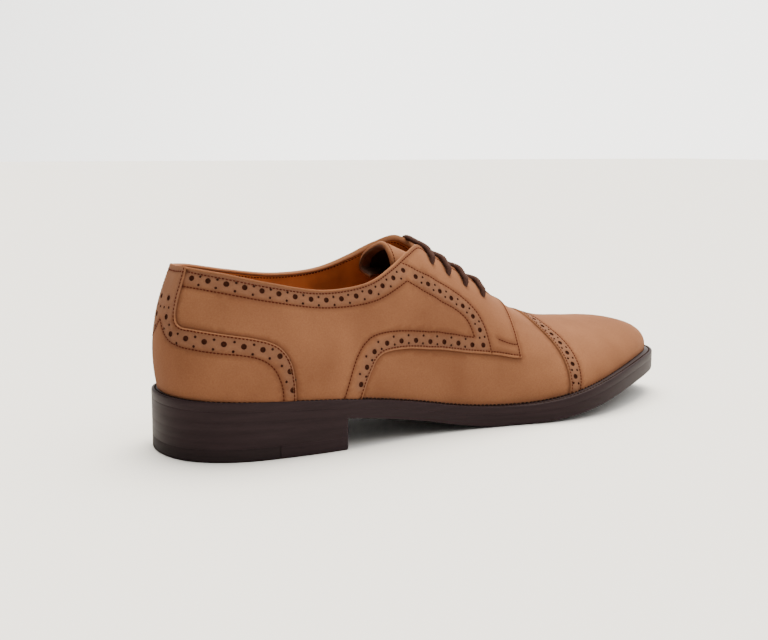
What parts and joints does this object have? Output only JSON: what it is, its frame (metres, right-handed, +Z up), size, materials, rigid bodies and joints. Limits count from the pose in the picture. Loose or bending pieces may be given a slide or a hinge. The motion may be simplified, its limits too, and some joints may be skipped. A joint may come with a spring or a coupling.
{
  "type": "brogue shoe",
  "caption": "Right lace-up derby brogue in tan leather with punched cap, counter and quarter bands, open lacing over a standing tongue, and a stacked low heel.",
  "frame": {"origin": "on the floor, under the middle of the shoe's box in plan", "axes": "+X to the toe, -Y to the outer (lateral) side of the foot, +Z up"},
  "size_m": [0.305, 0.1018, 0.0955],
  "materials": {
    "tan_nubuck": "matt brushed nubuck",
    "lining_leather": "smooth natural lining leather",
    "sole_leather": "inked and waxed sole edge",
    "heel_rubber": "matt moulded rubber",
    "waxed_cotton": "waxed round cord"
  },
  "bodies": {
    "root": {"upper": "tan_nubuck", "toe_cap": "tan_nubuck", "heel_counter": "tan_nubuck", "quarter_lateral": "tan_nubuck", "quarter_medial": "tan_nubuck", "tongue": "tan_nubuck", "lace": "waxed_cotton", "insole": "lining_leather", "welt": "sole_leather", "outsole": "sole_leather", "heel_stack": "sole_leather", "heel_top_leather": "sole_leather", "heel_top_rubber": "heel_rubber"}
  },
  "joints": []
}
